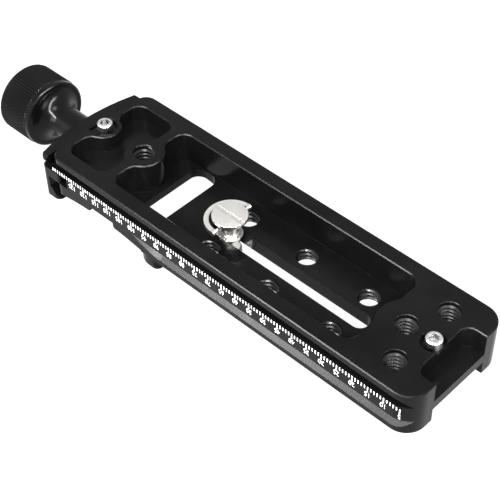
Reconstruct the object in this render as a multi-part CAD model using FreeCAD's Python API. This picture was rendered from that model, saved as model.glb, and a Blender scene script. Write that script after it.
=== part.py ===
"""Macro focusing rail: a slotted, pocketed bar with a screw-driven dovetail clamp under its knob end.

The object is laid out with x = 0 at the rail's knob-end face, y = 0 on its centre plane and z = 0 on its
top face. Each node is moved by PART_SHIFT when it is written, so that the part's origin is the centre of
the bottom of its box, with +X from the knob towards the rail's free end and +Z up.
"""
import FreeCAD, Part
import math
import os

# ---- rail bar -----------------------------------------------------------------------------------------
RAIL_LENGTH = 132.5
RAIL_WIDTH = 38.0
RAIL_HEIGHT = 14.0
FREE_CORNER_R = 6.0         # plan corners at the free end
KNOB_CORNER_R = 4.0         # plan corners at the knob end
EDGE_CHAMFER = 0.3          # broken edges of the top face and its pockets
CUTTER_R = 3.5              # inside corners of pockets and window
SIDE_WALL = 4.8             # thickness of the long walls at the top face

# ---- side grooves (45 degree dovetails) ---------------------------------------------------------------
LIP_H = 1.9                 # height of the top lip's flat face
UPPER_GROOVE_D = 2.5        # depth of the groove under the lip, and its height
SCALE_BAND_H = 4.9          # flat band that carries the millimetre scale
LOWER_GROOVE_D = 3.1        # depth of the lower dovetail groove, and its height
GROOVE_CUTTER_R = 21.8      # radius of that cutter, which leaves a curved run-out

# ---- pockets and window -------------------------------------------------------------------------------
POCKET_WIDTH = RAIL_WIDTH - 2 * SIDE_WALL
SMALL_POCKET_X0 = 2.1
SMALL_POCKET_LENGTH = 15.6
SMALL_POCKET_X1 = SMALL_POCKET_X0 + SMALL_POCKET_LENGTH
SMALL_POCKET_DEPTH = 5.3
BRIDGE_WIDTH = 3.4          # between the two pockets
LARGE_POCKET_X0 = SMALL_POCKET_X1 + BRIDGE_WIDTH
LARGE_POCKET_X1 = RAIL_LENGTH - 23.9
FLOOR_THICKNESS = 4.2       # of the large pocket
WINDOW_X0 = LARGE_POCKET_X0 + 6.0
WINDOW_LENGTH = 8.8
WINDOW_STEP = 0.4           # the window is narrower than the pocket by this much on each side
WINDOW_X1 = WINDOW_X0 + WINDOW_LENGTH
WINDOW_WIDTH = POCKET_WIDTH - 2 * WINDOW_STEP

# ---- dovetail clamp under the knob end ----------------------------------------------------------------
SEAT_X = 20.3               # middle of the arched seat
SEAT_Z = 1.9 - RAIL_HEIGHT  # top of the arch
SEAT_R = 95.0
SEAT_GROOVE_X0 = 16.2       # clears the stop screws of a dovetail plate
SEAT_GROOVE_X1 = 25.8
SEAT_GROOVE_Z = 3.5 - RAIL_HEIGHT
SEAT_GROOVE_CHAMFER = 0.5
CLAMP_BOTTOM_Z = -RAIL_HEIGHT - 3.3
LIP_FACE_H = 0.4            # flat tip of each clamping lip
JAW_EDGE_CHAMFER = 0.6
FIXED_TIP_X = 34.1
FIXED_ROOT_X = FIXED_TIP_X + 3.1
FIXED_OUTER_X = FIXED_ROOT_X + 6.4
FIXED_INNER_CORNER_R = 6.0
FIXED_OUTER_CORNER_R = 1.8
GROOVE_RUN_OUT_X = FIXED_OUTER_X + 1.5  # where the lower side groove's cutter stops

# ---- long slot ----------------------------------------------------------------------------------------
SLOT_WIDTH = 5.6
SLOT_START_X = FIXED_OUTER_X + 2.2
SLOT_END_X = RAIL_LENGTH - 29.1

# ---- tapped holes, 1/4"-20 ----------------------------------------------------------------------------
THREAD_D = 6.35
HOLE_CHAMFER = 0.15
HOLE_A_X = (SMALL_POCKET_X1 + LARGE_POCKET_X0) / 2  # on the bridge between the pockets
HOLE_B_X = RAIL_LENGTH - 17.1   # on the boss at the large pocket's end
HOLE_CD_X = RAIL_LENGTH - 11.95  # pair beside the free-end stop screw
HOLE_CD_Y = RAIL_WIDTH / 2 - 8.2
FLOOR_HOLE_FIRST_X = 53.2
FLOOR_HOLE_LAST_X = RAIL_LENGTH - 35.3
FLOOR_HOLE_COLUMNS = 3
FLOOR_HOLE_WEB = 1.925      # between the slot and the holes beside it
FLOOR_HOLE_Y = (SLOT_WIDTH + THREAD_D) / 2 + FLOOR_HOLE_WEB
KNOB_BOSS_X = 2.4           # boss around the knob-end stop screw
KNOB_BOSS_R = 5.2
BOSS_A_SMALL_R = 5.7        # boss of hole A on the small pocket's side
BOSS_A_LARGE_R = 6.2        # boss of hole A on the large pocket's side
BOSS_B_R = 8.7

# ---- free-end notches ---------------------------------------------------------------------------------
NOTCH_X = RAIL_LENGTH - 6.1
NOTCH_WIDTH = RAIL_WIDTH - 2 * 8.8
NOTCH_CORNER_R = 3.0
TOP_NOTCH_DEPTH = 6.7
NOTCH_WEB = 3.0             # web left between the top notch and the one under it

# ---- stop screws --------------------------------------------------------------------------------------
KNOB_STOP_X = 2.9
FREE_STOP_X = RAIL_LENGTH - 8.7
STOP_HEAD_D = 4.5
STOP_HEAD_H = 3.0
STOP_HEAD_CHAMFER = 0.3
STOP_SHANK_D = 2.5
STOP_SHANK_L = 3.6
STOP_SOCKET_AF = 2.5        # hexagon across flats
STOP_SOCKET_DEPTH = 1.3
KNOB_STOP_SEAT = 1.2        # depth of the open recess at the knob end
KNOB_STOP_RECESS_W = 7.6
FREE_STOP_SEAT = 1.4        # depth of the counterbore at the free end
FREE_STOP_BORE_D = 6.5

# ---- moving jaw ---------------------------------------------------------------------------------------
JAW_CLOSING = 2.0           # travel from here to the rail's end face
JAW_OPENING = 5.0           # travel the other way
JAW_TOP_Z = -2.5
JAW_INNER_X = -JAW_CLOSING - 0.1
JAW_BOW_X = -6.85           # the outer face bows out to here
JAW_BOW_END_X = -4.5        # and stands back to here at its ends
JAW_CORNER_R = 1.8
JAW_LIP_H = 1.3             # over the groove that goes on from the rail's sides
JAW_END_CHAMFER = 1.0       # on the lip's two ends
TONGUE_TOP_Z = -6.3
TONGUE_THICKNESS = 3.2
TONGUE_END_X = 3.2
TONGUE_SLOT_GAP = 0.2       # above the tongue
TONGUE_SLOT_FOOT_GAP = 0.1  # under it
TONGUE_SLOT_END_X = TONGUE_END_X + 3.3
LOWER_TONGUE_X0 = 0.8       # slanted left end of the rail's foot under the slot
LOWER_TONGUE_X1 = 1.3
MOVING_TIP_X = 1.7
MOVING_ROOT_X = MOVING_TIP_X - 3.5
MOVING_TIP_CORNER_R = 1.8
TONGUE_CORNER_R = 0.8

# ---- lead screw, knob, pins and springs ---------------------------------------------------------------
SCREW_Z = -8.5
SCREW_D = 4.0
SCREW_TIP_CHAMFER = 0.5
SCREW_TIP_X = TONGUE_SLOT_END_X + JAW_OPENING + 2.4
SCREW_HOLE_END_X = SCREW_TIP_X + JAW_CLOSING + 0.1
SCREW_RUNNING_GAP = 0.05    # radial, in the rail's tapped hole
SCREW_FREE_GAP = 0.15       # radial, through the jaw
KNOB_D = 21.8
KNOB_LENGTH = 14.3
KNOB_FACE_X = -20.9         # inner face of the knurled head
KNOB_CHAMFER = 1.3
KNOB_RING_D = 21.2          # plain ring between the knurl and the inner face
KNOB_RING_W = 1.9
KNOB_RING_CHAMFER = 0.4
KNOB_NECK_D = 9.6
KNOB_FLARE_D = 17.8         # where the neck's flare runs out on the inner face
KNOB_FLARE_R = 5.5
KNOB_OUTER_DISH_D = 15.0
KNOB_OUTER_DISH_DEPTH = 0.8
KNOB_WEB = 3.1              # between the outer dish and the lead screw's blind bore
FIXED_FIT_GAP = 0.02        # radial, between pieces fixed to each other
WASHER_D = 9.2
WASHER_THICKNESS = 0.6
FACE_GAP = 0.05             # between flat faces that turn or slide on each other
GRUB_D = 3.0
GRUB_X = -12.0
GRUB_SUNK = 0.2             # below the neck's surface
GRUB_SOCKET_AF = 1.5
GRUB_SOCKET_DEPTH = 1.4
PIN_D = 2.0
PIN_Y = RAIL_WIDTH / 2 - 7.0
PIN_START_X = -4.2
PIN_END_X = TONGUE_SLOT_END_X + JAW_OPENING + 4.0
PIN_BORE_END_X = PIN_END_X + JAW_CLOSING + 0.7
PIN_RUNNING_GAP = 0.06
SPRING_WIRE_D = 0.45
SPRING_OD = 3.2
SPRING_BORE_D = 3.8
SPRING_SEAT_X = TONGUE_SLOT_END_X + 3.0
SPRING_END_GAP = 0.06

# ---- camera screw and its ring ------------------------------------------------------------------------
CAMERA_X = SLOT_START_X + 7.9
DISC_D = 10.3
DISC_H = 1.1
DISC_TOP_Z = -2.3
DISC_CHAMFER = 0.15
DRIVER_SLOT_W = 1.3
DRIVER_SLOT_DEPTH = 0.55
HUB_D = 6.0
HUB_H = 2.6
NECK_D = 5.2
NECK_BELOW_RAIL = 0.2       # the thread starts this far under the rail
SHANK_TIP_Z = -RAIL_HEIGHT - 5.0
SHANK_CHAMFER = 0.6
CARRIER_D = 7.2             # washer that carries the screw on the pocket's floor
CARRIER_H = 0.6
CARRIER_FLOOR_GAP = 0.05
RING_PIVOT_DX = 0.3         # the ring's pivot stands off the screw's axis
RING_PIVOT_DROP = 0.8       # and this far under the disc
RING_INNER_R = DISC_D / 2 + 0.95
RING_OUTER_R = RING_INNER_R + 1.4
RING_THICKNESS = 1.3
RING_EYE_R = 0.85
RING_PIN_D = 1.0
RING_PIN_GAP = 0.05
RING_PIN_TIP_Y = 1.6

# ---- values worked out from the ones above ------------------------------------------------------------
HALF_WIDTH = RAIL_WIDTH / 2
BAND_TOP_Z = -(LIP_H + UPPER_GROOVE_D)
BAND_BOTTOM_Z = BAND_TOP_Z - SCALE_BAND_H
NOTCH_FLOOR_Z = -TOP_NOTCH_DEPTH
NOTCH_ROOF_Z = NOTCH_FLOOR_Z - NOTCH_WEB
LARGE_FLOOR_Z = FLOOR_THICKNESS - RAIL_HEIGHT
FLOOR_HOLE_PITCH = (FLOOR_HOLE_LAST_X - FLOOR_HOLE_FIRST_X) / (FLOOR_HOLE_COLUMNS - 1)
LIP_TIP_Z = CLAMP_BOTTOM_Z + LIP_FACE_H
TONGUE_FOOT_Z = TONGUE_TOP_Z - TONGUE_THICKNESS
TONGUE_SLOT_TOP_Z = TONGUE_TOP_Z + TONGUE_SLOT_GAP
TONGUE_SLOT_FOOT_Z = TONGUE_FOOT_Z - TONGUE_SLOT_FOOT_GAP
WASHER_X0 = JAW_BOW_X - FACE_GAP - WASHER_THICKNESS
KNOB_NECK_END_X = WASHER_X0 - FACE_GAP
KNOB_OUTER_X = KNOB_FACE_X - KNOB_LENGTH
KNOB_BORE_END_X = KNOB_OUTER_X + KNOB_OUTER_DISH_DEPTH + KNOB_WEB
DISC_FOOT_Z = DISC_TOP_Z - DISC_H
HUB_BOTTOM_Z = DISC_FOOT_Z - HUB_H
RING_PIVOT_Z = DISC_FOOT_Z - RING_PIVOT_DROP
RING_PIVOT_X = CAMERA_X + RING_PIVOT_DX
BOTTOM_Z = min(SCREW_Z - KNOB_D / 2, SHANK_TIP_Z, CLAMP_BOTTOM_Z)
PART_SHIFT = FreeCAD.Vector(-(KNOB_OUTER_X + RAIL_LENGTH) / 2, 0, -BOTTOM_Z)
PAST = 1.0                  # how far cutting tools run past a face

X_AXIS = FreeCAD.Vector(1, 0, 0)
Y_AXIS = FreeCAD.Vector(0, 1, 0)
Z_AXIS = FreeCAD.Vector(0, 0, 1)


# ---- small helpers ------------------------------------------------------------------------------------
def vec(x, y, z):
    return FreeCAD.Vector(x, y, z)


def box(x0, x1, y0, y1, z0, z1):
    return Part.makeBox(x1 - x0, y1 - y0, z1 - z0, vec(x0, y0, z0))


def rod_x(x0, x1, y, z, diameter):
    return Part.makeCylinder(diameter / 2, x1 - x0, vec(x0, y, z), X_AXIS)


def rod_y(x, y0, y1, z, diameter):
    return Part.makeCylinder(diameter / 2, y1 - y0, vec(x, y0, z), Y_AXIS)


def rod_z(x, y, z0, z1, diameter):
    return Part.makeCylinder(diameter / 2, z1 - z0, vec(x, y, z0), Z_AXIS)


def extruded(points, direction):
    """A prism on a closed polygon."""
    wire = Part.makePolygon(points + [points[0]])
    return Part.Face(wire).extrude(direction)


def prism_x(outline_yz, x0, x1):
    return extruded([vec(x0, y, z) for y, z in outline_yz], vec(x1 - x0, 0, 0))


def prism_y(outline_xz, y0, y1):
    return extruded([vec(x, y0, z) for x, z in outline_xz], vec(0, y1 - y0, 0))


def plan_prism(edges, z0, z1):
    """Extrude a closed plan outline, drawn at z = 0, from z0 to z1."""
    solid = Part.Face(Part.Wire(Part.__sortEdges__(edges))).extrude(vec(0, 0, z1 - z0))
    solid.translate(vec(0, 0, z0))
    return solid


def line(start, end):
    return Part.makeLine(vec(*start, 0), vec(*end, 0))


def arc(start, middle, end):
    return Part.Arc(vec(*start, 0), vec(*middle, 0), vec(*end, 0)).toShape()


def corner_arc(centre_x, centre_y, radius, side_x, side_y):
    """The quarter circle of a plan corner that faces (side_x, side_y)."""
    diagonal = radius / math.sqrt(2)
    return arc((centre_x + side_x * radius, centre_y),
               (centre_x + side_x * diagonal, centre_y + side_y * diagonal),
               (centre_x, centre_y + side_y * radius))


def rounded_plan(x0, x1, width, left_r, right_r):
    """A rectangle in plan, symmetric about y = 0, with its own corner radius at each end."""
    half = width / 2
    edges = [line((x0 + left_r, side * half), (x1 - right_r, side * half)) for side in (-1, 1)]
    for x, inward, radius in ((x0, 1, left_r), (x1, -1, right_r)):
        edges.append(line((x, radius - half), (x, half - radius)))
        for side in (-1, 1):
            edges.append(corner_arc(x + inward * radius, side * (half - radius), radius, -inward, side))
    return edges


def slot_prism(x0, x1, width, z0, z1):
    """A slot along X with half-round ends."""
    radius = width / 2
    ends = [rod_z(x, 0, z0, z1, width) for x in (x0 + radius, x1 - radius)]
    return box(x0 + radius, x1 - radius, -radius, radius, z0, z1).fuse(ends)


def both_sides(outline_yz, x0, x1):
    """A prism along X and its mirror image on the rail's other side."""
    mirrored = [(-y, z) for y, z in outline_yz]
    return prism_x(outline_yz, x0, x1).fuse(prism_x(mirrored, x0, x1))


def hexagon_z(x, y, z0, z1, across_flats):
    radius = across_flats / math.sqrt(3)
    corners = [(x + radius * math.cos(math.radians(60 * k)), y + radius * math.sin(math.radians(60 * k)))
               for k in range(6)]
    return extruded([vec(px, py, z0) for px, py in corners], vec(0, 0, z1 - z0))


# ---- rail body ----------------------------------------------------------------------------------------
def pocket_end(wall_x, inward, boss_x, boss_r):
    """Plan edges of one end of a pocket, whose wall is bulged by a round boss with milled fillets."""
    half = POCKET_WIDTH / 2
    fillet_x = wall_x + inward * CUTTER_R
    fillet_y = math.sqrt((boss_r + CUTTER_R) ** 2 - (fillet_x - boss_x) ** 2)
    towards_boss = vec(boss_x - fillet_x, -fillet_y, 0).normalize()
    touch_x = fillet_x + CUTTER_R * towards_boss.x
    touch_y = fillet_y + CUTTER_R * towards_boss.y
    halfway = (towards_boss + vec(-inward, 0, 0)).normalize()
    edges = [arc((touch_x, touch_y), (boss_x + inward * boss_r, 0), (touch_x, -touch_y))]
    for side in (-1, 1):
        edges.append(corner_arc(fillet_x, side * (half - CUTTER_R), CUTTER_R, -inward, side))
        edges.append(line((wall_x, side * (half - CUTTER_R)), (wall_x, side * fillet_y)))
        edges.append(arc((wall_x, side * fillet_y),
                         (fillet_x + CUTTER_R * halfway.x, side * (fillet_y + CUTTER_R * halfway.y)),
                         (touch_x, side * touch_y)))
    return edges


def pocket(x0, x1, left_boss, right_boss, floor_z):
    half = POCKET_WIDTH / 2
    edges = pocket_end(x0, 1, *left_boss) + pocket_end(x1, -1, *right_boss)
    for side in (-1, 1):
        edges.append(line((x0 + CUTTER_R, side * half), (x1 - CUTTER_R, side * half)))
    return plan_prism(edges, floor_z, PAST)


def seat_height(x):
    """Height of the arched seat above a dovetail plate at x."""
    return SEAT_Z - SEAT_R + math.sqrt(SEAT_R ** 2 - (x - SEAT_X) ** 2)


def clamp_channel():
    """The space that a dovetail plate fills, from the slanted foot of the rail to the fixed jaw."""
    half = HALF_WIDTH + PAST
    start_x = -PAST
    root_z = LIP_TIP_Z + (FIXED_ROOT_X - FIXED_TIP_X)
    under_z = CLAMP_BOTTOM_Z - PAST
    arch = Part.Arc(vec(start_x, -half, seat_height(start_x)),
                    vec(SEAT_X, -half, SEAT_Z),
                    vec(FIXED_ROOT_X, -half, seat_height(FIXED_ROOT_X))).toShape()
    corners = [(FIXED_ROOT_X, seat_height(FIXED_ROOT_X)), (FIXED_ROOT_X, root_z), (FIXED_TIP_X, LIP_TIP_Z),
               (FIXED_TIP_X, under_z), (start_x, under_z), (start_x, seat_height(start_x))]
    sides = [Part.makeLine(vec(a[0], -half, a[1]), vec(b[0], -half, b[1]))
             for a, b in zip(corners, corners[1:])]
    space = Part.Face(Part.Wire([arch] + sides)).extrude(vec(0, 2 * half, 0))
    groove = [(SEAT_GROOVE_X0, SEAT_GROOVE_Z), (SEAT_GROOVE_X1, SEAT_GROOVE_Z)]
    for x, outward in ((SEAT_GROOVE_X1, 1), (SEAT_GROOVE_X0, -1)):
        mouth_z = seat_height(x)
        mouth = [(x, mouth_z + SEAT_GROOVE_CHAMFER),
                 (x + outward * (SEAT_GROOVE_CHAMFER + PAST), mouth_z - PAST)]
        groove += mouth[::outward]
    return space.fuse(prism_y(groove, -half, half))


def side_grooves():
    outside = HALF_WIDTH + PAST
    upper = [(outside, -LIP_H + PAST), (HALF_WIDTH - UPPER_GROOVE_D, BAND_TOP_Z), (outside, BAND_TOP_Z)]
    floor_y = HALF_WIDTH - LOWER_GROOVE_D
    foot_z = BAND_BOTTOM_Z - LOWER_GROOVE_D
    lower = [(outside, BAND_BOTTOM_Z), (floor_y, BAND_BOTTOM_Z), (outside, foot_z - PAST)]
    grooves = both_sides(upper, -PAST, RAIL_LENGTH + PAST)
    grooves = grooves.fuse(both_sides(lower, GROOVE_RUN_OUT_X, RAIL_LENGTH + PAST))
    for side in (-1, 1):
        cutter_y = side * (floor_y + GROOVE_CUTTER_R)
        cutter = Part.makeCone(GROOVE_CUTTER_R - LOWER_GROOVE_D, GROOVE_CUTTER_R, LOWER_GROOVE_D,
                               vec(GROOVE_RUN_OUT_X, cutter_y, foot_z))
        grooves = grooves.fuse(cutter)
    return grooves


def tapped_hole(x, y, top_z, bottom_z, chamfered):
    hole = rod_z(x, y, bottom_z - PAST, top_z + PAST, THREAD_D)
    if chamfered:
        mouth = Part.makeCone(THREAD_D / 2, THREAD_D / 2 + HOLE_CHAMFER, HOLE_CHAMFER,
                              vec(x, y, top_z - HOLE_CHAMFER))
        hole = hole.fuse(mouth)
    return hole


def floor_hole_columns():
    return [FLOOR_HOLE_FIRST_X + k * FLOOR_HOLE_PITCH for k in range(FLOOR_HOLE_COLUMNS)]


def tapped_holes():
    tools = [tapped_hole(HOLE_A_X, 0, 0, -RAIL_HEIGHT, True),
             tapped_hole(HOLE_B_X, 0, 0, -RAIL_HEIGHT, True)]
    for side in (-1, 1):
        tools.append(tapped_hole(HOLE_CD_X, side * HOLE_CD_Y, 0, -RAIL_HEIGHT, True))
        for x in floor_hole_columns():
            tools.append(tapped_hole(x, side * FLOOR_HOLE_Y, LARGE_FLOOR_Z, -RAIL_HEIGHT, False))
    return tools


def tongue_slot():
    """The mouth for the moving jaw's tongue, and the slanted end of the foot under it."""
    half = HALF_WIDTH + PAST
    mouth = box(-PAST, TONGUE_SLOT_END_X, -half, half, TONGUE_SLOT_FOOT_Z, TONGUE_SLOT_TOP_Z)
    foot_end = prism_y([(-PAST, TONGUE_SLOT_FOOT_Z + PAST), (LOWER_TONGUE_X0, TONGUE_SLOT_FOOT_Z + PAST),
                        (LOWER_TONGUE_X0, TONGUE_SLOT_FOOT_Z), (LOWER_TONGUE_X1, -RAIL_HEIGHT - PAST),
                        (-PAST, -RAIL_HEIGHT - PAST)], -half, half)
    return mouth.fuse(foot_end)


def jaw_bores():
    """Tapped hole of the lead screw, and the stepped bores of the guide pins and springs."""
    thread_d = SCREW_D + 2 * SCREW_RUNNING_GAP
    free_d = SCREW_D + 2 * SCREW_FREE_GAP
    tools = [rod_x(TONGUE_SLOT_END_X - PAST, SCREW_HOLE_END_X, 0, SCREW_Z, thread_d),
             rod_x(-PAST, TONGUE_SLOT_END_X, 0, SCREW_Z, free_d)]
    for side in (-1, 1):
        bore_d = PIN_D + 2 * PIN_RUNNING_GAP
        tools.append(rod_x(TONGUE_SLOT_END_X - PAST, PIN_BORE_END_X, side * PIN_Y, SCREW_Z, bore_d))
        tools.append(rod_x(-PAST, SPRING_SEAT_X, side * PIN_Y, SCREW_Z, SPRING_BORE_D))
    return tools


def stop_screw_seats():
    recess_r = KNOB_STOP_RECESS_W / 2
    shank_d = STOP_SHANK_D + 2 * FIXED_FIT_GAP
    knob_end = box(-PAST, KNOB_BOSS_X, -recess_r, recess_r, -KNOB_STOP_SEAT, PAST)
    knob_end = knob_end.fuse(rod_z(KNOB_BOSS_X, 0, -KNOB_STOP_SEAT, PAST, KNOB_STOP_RECESS_W))
    return [knob_end,
            rod_z(KNOB_STOP_X, 0, -KNOB_STOP_SEAT - STOP_SHANK_L, 0, shank_d),
            rod_z(FREE_STOP_X, 0, -FREE_STOP_SEAT, PAST, FREE_STOP_BORE_D),
            rod_z(FREE_STOP_X, 0, -FREE_STOP_SEAT - STOP_SHANK_L - PAST, 0, shank_d)]


def end_notches():
    past_end_x = RAIL_LENGTH + NOTCH_CORNER_R + PAST
    plan = rounded_plan(NOTCH_X, past_end_x, NOTCH_WIDTH, NOTCH_CORNER_R, NOTCH_CORNER_R)
    return [plan_prism(plan, NOTCH_FLOOR_Z, PAST), plan_prism(plan, -RAIL_HEIGHT - PAST, NOTCH_ROOF_Z)]


def break_top_edges(body):
    """Chamfer the outer edge of the top face and the rims of its pockets, but not the drilled holes."""
    largest_drilled_r = FREE_STOP_BORE_D / 2 + PAST
    rims = []
    for edge in body.Edges:
        on_top = all(abs(vertex.Z) < 1e-6 for vertex in edge.Vertexes)
        full_circle = isinstance(edge.Curve, Part.Circle) and edge.Closed
        round_hole = full_circle and edge.Curve.Radius < largest_drilled_r
        if on_top and abs(edge.CenterOfMass.z) < 1e-6 and not round_hole:
            rims.append(edge)
    return body.makeChamfer(EDGE_CHAMFER, rims)


def rail_body():
    bar_plan = rounded_plan(0, RAIL_LENGTH, RAIL_WIDTH, KNOB_CORNER_R, FREE_CORNER_R)
    body = plan_prism(bar_plan, -RAIL_HEIGHT, 0)
    jaw_plan = rounded_plan(FIXED_TIP_X, FIXED_OUTER_X, RAIL_WIDTH,
                            FIXED_INNER_CORNER_R, FIXED_OUTER_CORNER_R)
    jaw_bar = plan_prism(jaw_plan, CLAMP_BOTTOM_Z, -RAIL_HEIGHT)
    under_z = -RAIL_HEIGHT - PAST
    inside_z = LARGE_FLOOR_Z + PAST
    tools = [clamp_channel(), side_grooves(), tongue_slot()]
    tools.append(pocket(SMALL_POCKET_X0, SMALL_POCKET_X1, (KNOB_BOSS_X, KNOB_BOSS_R),
                        (HOLE_A_X, BOSS_A_SMALL_R), -SMALL_POCKET_DEPTH))
    tools.append(pocket(LARGE_POCKET_X0, LARGE_POCKET_X1, (HOLE_A_X, BOSS_A_LARGE_R),
                        (HOLE_B_X, BOSS_B_R), LARGE_FLOOR_Z))
    tools.append(plan_prism(rounded_plan(WINDOW_X0, WINDOW_X1, WINDOW_WIDTH, CUTTER_R, CUTTER_R),
                            under_z, inside_z))
    tools.append(slot_prism(SLOT_START_X, SLOT_END_X, SLOT_WIDTH, under_z, inside_z))
    body = body.fuse(jaw_bar).cut(tools + tapped_holes() + jaw_bores() + stop_screw_seats() + end_notches())
    return break_top_edges(body.removeSplitter())


# ---- moving jaw ---------------------------------------------------------------------------------------
def jaw_plan(inner_x, inner_r):
    """The moving jaw in plan: a bowed outer face with rounded corners, and an inner face at inner_x."""
    bow_y = HALF_WIDTH - JAW_CORNER_R
    corner_x = JAW_BOW_END_X + JAW_CORNER_R
    edges = [arc((JAW_BOW_END_X, -bow_y), (JAW_BOW_X, 0), (JAW_BOW_END_X, bow_y)),
             line((inner_x, inner_r - HALF_WIDTH), (inner_x, HALF_WIDTH - inner_r))]
    for side in (-1, 1):
        edges.append(corner_arc(corner_x, side * bow_y, JAW_CORNER_R, -1, side))
        edges.append(line((corner_x, side * HALF_WIDTH), (inner_x - inner_r, side * HALF_WIDTH)))
        if inner_r:
            edges.append(corner_arc(inner_x - inner_r, side * (HALF_WIDTH - inner_r), inner_r, 1, side))
    return edges


def moving_jaw():
    wall = plan_prism(jaw_plan(JAW_INNER_X, 0), TONGUE_TOP_Z, JAW_TOP_Z)
    outside = HALF_WIDTH + PAST
    lip_foot_z = JAW_TOP_Z - JAW_LIP_H
    groove_floor_y = HALF_WIDTH - (lip_foot_z - TONGUE_TOP_Z)
    groove = [(outside, lip_foot_z + PAST), (groove_floor_y, TONGUE_TOP_Z), (outside, TONGUE_TOP_Z)]
    bevel_y = HALF_WIDTH - JAW_END_CHAMFER
    bevel = [(bevel_y, JAW_TOP_Z), (bevel_y, JAW_TOP_Z + PAST), (outside, JAW_TOP_Z + PAST),
             (outside, JAW_TOP_Z - JAW_END_CHAMFER - PAST)]
    for cut in (groove, bevel):
        wall = wall.cut(both_sides(cut, JAW_BOW_X - PAST, JAW_INNER_X + PAST))
    tongue = plan_prism(jaw_plan(TONGUE_END_X, TONGUE_CORNER_R), TONGUE_FOOT_Z, TONGUE_TOP_Z)
    root_z = LIP_TIP_Z + (MOVING_TIP_X - MOVING_ROOT_X)
    past_x = JAW_BOW_X - PAST
    lower = prism_y([(past_x, TONGUE_FOOT_Z), (past_x, CLAMP_BOTTOM_Z), (MOVING_TIP_X, CLAMP_BOTTOM_Z),
                     (MOVING_TIP_X, LIP_TIP_Z), (MOVING_ROOT_X, root_z), (MOVING_ROOT_X, TONGUE_FOOT_Z)],
                    -HALF_WIDTH, HALF_WIDTH)
    lower_plan = jaw_plan(MOVING_TIP_X, MOVING_TIP_CORNER_R)
    lower = lower.common(plan_prism(lower_plan, CLAMP_BOTTOM_Z, TONGUE_FOOT_Z))
    jaw = wall.fuse([tongue, lower])
    bores = [rod_x(past_x, TONGUE_END_X + PAST, 0, SCREW_Z, SCREW_D + 2 * SCREW_FREE_GAP)]
    pin_bore_d = PIN_D + 2 * FIXED_FIT_GAP
    for side in (-1, 1):
        bores.append(rod_x(PIN_START_X, TONGUE_END_X + PAST, side * PIN_Y, SCREW_Z, pin_bore_d))
    jaw = jaw.cut(bores).removeSplitter()
    bowed_foot = [edge for edge in jaw.Edges
                  if abs(edge.CenterOfMass.z - CLAMP_BOTTOM_Z) < 1e-6 and edge.CenterOfMass.x < JAW_BOW_END_X]
    return jaw.makeChamfer(JAW_EDGE_CHAMFER, bowed_foot)


# ---- knob and its screw -------------------------------------------------------------------------------
def turned(profile_xr):
    """A solid of revolution about the lead screw's axis, from points of x and radius."""
    outline = [vec(x, 0, SCREW_Z + radius) for x, radius in profile_xr]
    wire = Part.makePolygon(outline + [outline[0]])
    return Part.Face(wire).revolve(vec(0, 0, SCREW_Z), X_AXIS, 360)


def knob():
    radius = KNOB_D / 2
    ring_r = KNOB_RING_D / 2
    neck_r = KNOB_NECK_D / 2
    flare_r = KNOB_FLARE_D / 2
    flare_centre_r = neck_r + KNOB_FLARE_R
    flare_end_x = KNOB_FACE_X + math.sqrt(KNOB_FLARE_R ** 2 - (flare_centre_r - flare_r) ** 2)
    shape = turned([
        (KNOB_OUTER_X + KNOB_OUTER_DISH_DEPTH, 0),
        (KNOB_OUTER_X + KNOB_OUTER_DISH_DEPTH, KNOB_OUTER_DISH_D / 2 - KNOB_OUTER_DISH_DEPTH),
        (KNOB_OUTER_X, KNOB_OUTER_DISH_D / 2),
        (KNOB_OUTER_X, radius - KNOB_CHAMFER),
        (KNOB_OUTER_X + KNOB_CHAMFER, radius),
        (KNOB_FACE_X - KNOB_RING_W, radius),
        (KNOB_FACE_X - KNOB_RING_W, ring_r),
        (KNOB_FACE_X - KNOB_RING_CHAMFER, ring_r),
        (KNOB_FACE_X, ring_r - KNOB_RING_CHAMFER),
        (KNOB_FACE_X, flare_r),
        (flare_end_x, flare_r),
        (flare_end_x, neck_r),
        (KNOB_NECK_END_X, neck_r),
        (KNOB_NECK_END_X, 0)])
    hollow = Part.makeTorus(flare_centre_r, KNOB_FLARE_R, vec(flare_end_x, 0, SCREW_Z), X_AXIS)
    hollow = hollow.common(rod_x(KNOB_FACE_X, KNOB_NECK_END_X, 0, SCREW_Z, KNOB_FLARE_D + 2 * PAST))
    bore_d = SCREW_D + 2 * FIXED_FIT_GAP
    bore = rod_x(KNOB_BORE_END_X, KNOB_NECK_END_X + PAST, 0, SCREW_Z, bore_d)
    grub_hole = rod_z(GRUB_X, 0, SCREW_Z - KNOB_NECK_D / 2 - PAST, SCREW_Z, GRUB_D + 2 * FIXED_FIT_GAP)
    return shape.cut([hollow, bore, grub_hole])


def lead_screw():
    start_x = KNOB_BORE_END_X + FACE_GAP
    radius = SCREW_D / 2
    return turned([(start_x, 0), (start_x, radius), (SCREW_TIP_X - SCREW_TIP_CHAMFER, radius),
                   (SCREW_TIP_X, radius - SCREW_TIP_CHAMFER), (SCREW_TIP_X, 0)])


def knob_grub_screw():
    bottom_z = SCREW_Z - KNOB_NECK_D / 2 + GRUB_SUNK
    top_z = SCREW_Z - SCREW_D / 2 - FIXED_FIT_GAP
    screw = rod_z(GRUB_X, 0, bottom_z, top_z, GRUB_D)
    screw = screw.cut(hexagon_z(GRUB_X, 0, bottom_z - PAST, bottom_z + GRUB_SOCKET_DEPTH, GRUB_SOCKET_AF))
    # The tip is hollowed to the lead screw's radius, so that it bears along a line.
    return screw.cut(rod_x(GRUB_X - GRUB_D, GRUB_X + GRUB_D, 0, SCREW_Z, SCREW_D + 2 * FIXED_FIT_GAP))


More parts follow.
